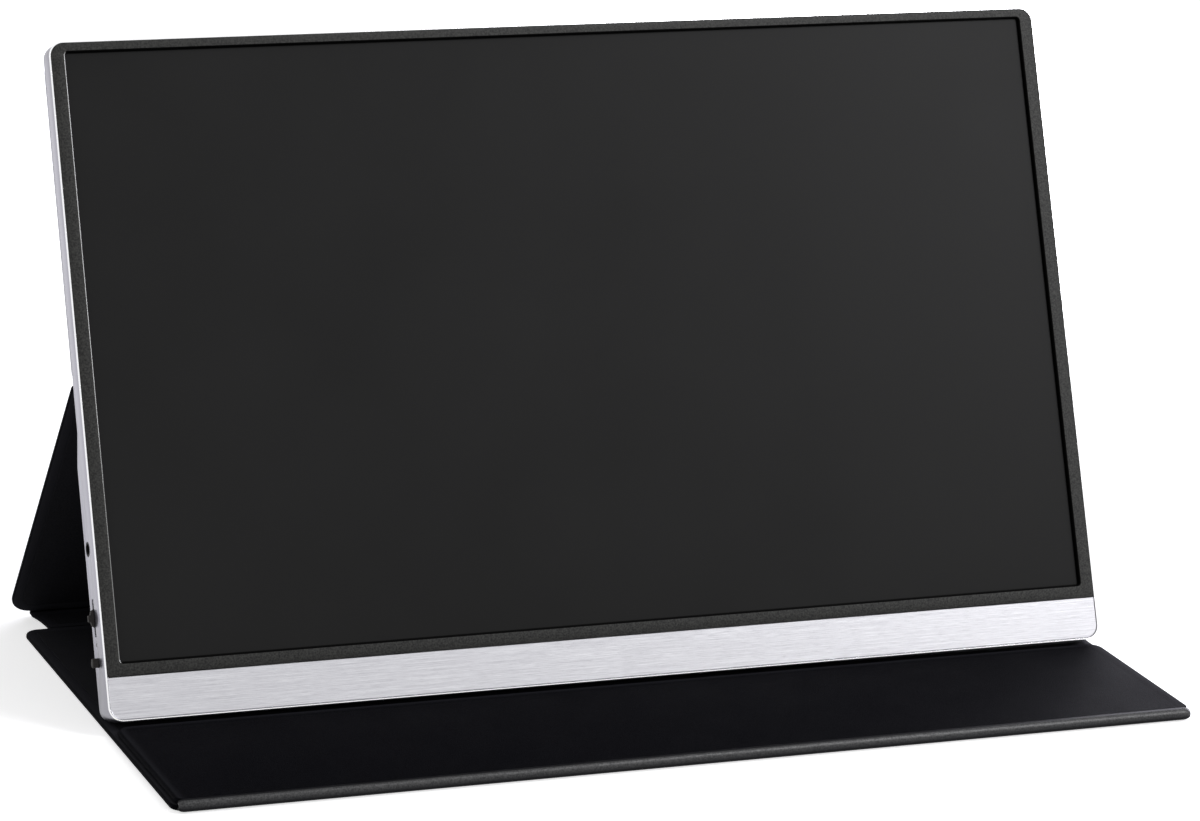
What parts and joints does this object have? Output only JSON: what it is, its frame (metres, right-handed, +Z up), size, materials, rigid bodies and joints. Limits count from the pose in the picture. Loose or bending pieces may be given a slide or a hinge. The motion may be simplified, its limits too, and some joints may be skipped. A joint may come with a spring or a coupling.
{
  "type": "portable monitor with folding cover",
  "caption": "Slim portable monitor leaning back in a folded leather-look cover, whose rear leg, back panel and front flap fold and from which the monitor pulls off.",
  "frame": {"origin": "on the table, on the underside of the cover's base panel, straight below the middle of the monitor's lower front edge", "axes": "+X to the right as one faces the screen, +Y from the screen to the back, +Z up"},
  "size_m": [0.358, 0.2019, 0.2114],
  "materials": {
    "silver_metal": "satin anodised",
    "brushed_metal": "brushed along the width",
    "black_bezel": "fine textured",
    "black_foam": "matte foam",
    "display_glass": "anti-glare",
    "film": "satin",
    "clear_acrylic": "clear",
    "plain_steel": "plain",
    "socket_steel": "plated",
    "circuit_board": "solder mask",
    "flat_cable": "satin",
    "black_plastic": "fine textured",
    "light_plastic": "natural",
    "light_pipe": "clear",
    "magnet": "plated",
    "black_leather": "fine grained",
    "black_lining": "smooth microfibre",
    "grey_board": "pressed fibre board"
  },
  "bodies": {
    "base": {"base_leather": "black_leather", "base_board": "grey_board", "base_lining": "black_lining", "spine_leather": "black_leather", "spine_stiffener": "grey_board", "spine_lining": "black_lining", "foot_crease": "black_leather", "front_roll": "black_leather"},
    "flap": {"flap_leather": "black_leather", "flap_board": "grey_board", "flap_lining": "black_lining", "flap_magnets": "magnet"},
    "leg": {"leg_leather": "black_leather", "leg_board": "grey_board", "leg_lining": "black_lining", "back_crease": "black_leather"},
    "back_panel": {"back_leather": "black_leather", "back_board": "grey_board", "back_lining": "black_lining", "back_magnets": "magnet"},
    "monitor": {"rear_housing": "silver_metal", "front_bezel": "black_bezel", "trim_strip": "brushed_metal", "foam_seal": "black_foam", "screen_glass": "display_glass", "optical_films": "film", "light_guide": "clear_acrylic", "reflector_sheet": "film", "display_tray": "plain_steel", "light_bar": "film", "driver_board": "circuit_board", "display_cable": "flat_cable", "main_board": "circuit_board", "key_board": "circuit_board", "key_cable": "flat_cable", "headphone_socket": "black_plastic", "rocker_switch": "black_plastic", "button_switch": "black_plastic", "status_light": "light_pipe", "video_socket": "socket_steel", "data_sockets": "socket_steel", "left_speaker": "black_plastic", "right_speaker": "black_plastic", "board_screws": "plain_steel", "tray_screws": "plain_steel", "body_magnets": "magnet"},
    "rocker_plunger": {"rocker_carrier": "light_plastic"},
    "rocker": {"rocker_lever": "black_plastic"},
    "button": {"power_button": "black_plastic"}
  },
  "joints": [
    {"name": "front_fold", "type": "hinge", "parent": "base", "child": "flap", "pos_m": [0, -0.0704, 0.00202], "axis": [1, 0, 0], "range_deg": [0, 180], "deforming": ["front_roll"]},
    {"name": "leg_fold", "type": "hinge", "parent": "base", "child": "leg", "pos_m": [0, 0.12898, 0.001], "axis": [-1, 0, 0], "range_deg": [0, 123], "deforming": ["foot_crease"]},
    {"name": "back_fold", "type": "hinge", "parent": "leg", "child": "back_panel", "pos_m": [0, 0.05043, 0.10521], "axis": [1, 0, 0], "range_deg": [0, 51], "deforming": ["back_crease"]},
    {"name": "monitor_pull_off", "type": "slide", "parent": "back_panel", "child": "monitor", "axis": [0, -0.9239, 0.3827], "range_m": [0, 0.12]},
    {"name": "rocker_press", "type": "slide", "parent": "monitor", "child": "rocker_plunger", "axis": [1, 0, 0], "range_m": [0, 0.0004], "stiffness_N_per_m": 1500},
    {"name": "rocker_tilt", "type": "hinge", "parent": "rocker_plunger", "child": "rocker", "pos_m": [-0.1742, 0.02032, 0.03434], "axis": [0, 0.9239, -0.3827], "range_deg": [-8, 8], "stiffness_Nm_per_rad": 0.01},
    {"name": "button_press", "type": "slide", "parent": "monitor", "child": "button", "axis": [1, 0, 0], "range_m": [0, 0.0005], "stiffness_N_per_m": 1200}
  ],
  "couplings": [
    {"joint": "back_fold", "follows": "leg_fold", "ratio": 0.41463}
  ]
}
